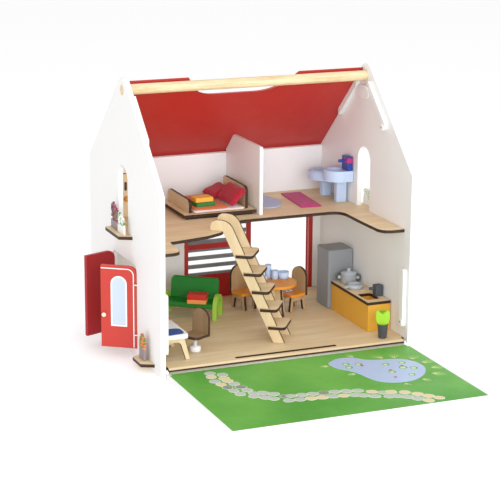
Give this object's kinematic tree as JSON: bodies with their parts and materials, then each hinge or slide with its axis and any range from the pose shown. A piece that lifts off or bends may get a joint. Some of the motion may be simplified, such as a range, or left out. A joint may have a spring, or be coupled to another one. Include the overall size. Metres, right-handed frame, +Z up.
{
  "type": "dollhouse",
  "caption": "Open-fronted wooden dollhouse with an upper floor, red rear roof, double side doors, hook-on ladder, fold-down printed garden board and furniture.",
  "frame": {"origin": "middle of the bottom of the whole object's box, on the ground, with the garden board folded down", "axes": "+X to the right as seen from the open front, +Y from the open front to the back wall, +Z up"},
  "size_m": [0.5162, 0.6356, 0.448],
  "materials": {
    "wall_white": "satin white paint",
    "trim_white": "satin white paint",
    "floor_ply": "clear varnished birch plywood",
    "red_paint": "satin red paint",
    "beech": "clear varnished beech",
    "knob_cream": "turned, clear varnish",
    "ring_white": "glossy",
    "garden_print": "printed board, satin",
    "hinge_white": "glossy",
    "ply_cut": "plywood with burnt cut edges",
    "flower_board": "printed plywood",
    "chair_ply": "plywood with burnt cut edges, painted seat",
    "orange_paint": "satin paint",
    "sofa_green": "satin paint",
    "sofa_lime": "satin paint",
    "desk_white": "satin paint on plywood",
    "counter_yellow": "satin paint",
    "worktop_ply": "plywood with burnt cut edges",
    "pot_grey": "satin paint",
    "fridge_grey": "satin paint",
    "tulip_green": "satin paint",
    "blanket_orange": "woven",
    "pillow_crimson": "woven",
    "bath_blue": "gloss paint",
    "tap_blue": "gloss paint",
    "mat_blue": "felt",
    "mat_pink": "felt"
  },
  "bodies": {
    "house": {"left_wall": "wall_white", "right_wall": "wall_white", "back_wall": "wall_white", "partition_wall": "wall_white", "left_rear_batten": "trim_white", "right_rear_batten": "trim_white", "left_front_batten": "trim_white", "right_front_batten": "trim_white", "left_front_stop": "trim_white", "right_front_stop": "trim_white", "floor_board": "floor_ply", "upper_floor": "floor_ply", "patio_frame": "red_paint", "rear_roof_panel": "red_paint", "carry_pole": "beech", "near_door_lower_ring": "ring_white", "near_door_upper_ring": "ring_white", "far_door_lower_ring": "ring_white", "far_door_upper_ring": "ring_white", "upper_left_flowers": "flower_board", "upper_right_flowers": "flower_board", "lower_left_flowers": "flower_board", "left_chair": "chair_ply", "right_chair": "chair_ply", "desk_chair": "chair_ply", "dining_table": "orange_paint", "sofa_shell": "sofa_green", "sofa_left_arm": "sofa_lime", "sofa_right_arm": "sofa_lime", "desk": "desk_white", "kitchen_counter": "counter_yellow", "kitchen_worktop": "worktop_ply", "stew_pot": "pot_grey", "fridge": "fridge_grey", "potted_tulip": "tulip_green", "bed_deck": "ply_cut", "bed_footboard": "ply_cut", "bed_headboard": "ply_cut", "blanket": "blanket_orange", "front_pillow": "pillow_crimson", "rear_pillow": "pillow_crimson", "wash_basin": "bath_blue", "toilet": "bath_blue", "basin_tap": "tap_blue", "round_mat": "mat_blue", "pink_mat": "mat_pink"},
    "garden": {"garden_board": "garden_print", "left_garden_hinge": "hinge_white", "right_garden_hinge": "hinge_white"},
    "near_leaf": {"near_door": "red_paint", "near_door_knob": "knob_cream"},
    "far_leaf": {"far_door": "red_paint"},
    "shutter": {"sliding_shutter": "red_paint"},
    "ladder": {"near_stringer": "ply_cut", "far_stringer": "ply_cut", "tread_1": "ply_cut", "tread_2": "ply_cut", "tread_3": "ply_cut", "tread_4": "ply_cut", "tread_5": "ply_cut"}
  },
  "joints": [
    {"name": "garden_fold", "type": "hinge", "parent": "house", "child": "garden", "pos_m": [0.01805, -0.03695, 0.006], "axis": [-1, 0, 0], "range_deg": [0, 90]},
    {"name": "near_door_hinge", "type": "hinge", "parent": "house", "child": "near_leaf", "pos_m": [-0.20195, 0.07055, 0.084], "axis": [0, 0, 1], "range_deg": [-55, 75]},
    {"name": "far_door_hinge", "type": "hinge", "parent": "house", "child": "far_leaf", "pos_m": [-0.20195, 0.19155, 0.084], "axis": [0, 0, -1], "range_deg": [-69, 61]},
    {"name": "shutter_slide", "type": "slide", "parent": "house", "child": "shutter", "axis": [1, 0, 0], "range_m": [0, 0.117]},
    {"name": "ladder_lift", "type": "slide", "parent": "house", "child": "ladder", "axis": [0, 0, 1], "range_m": [0, 0.19]}
  ]
}
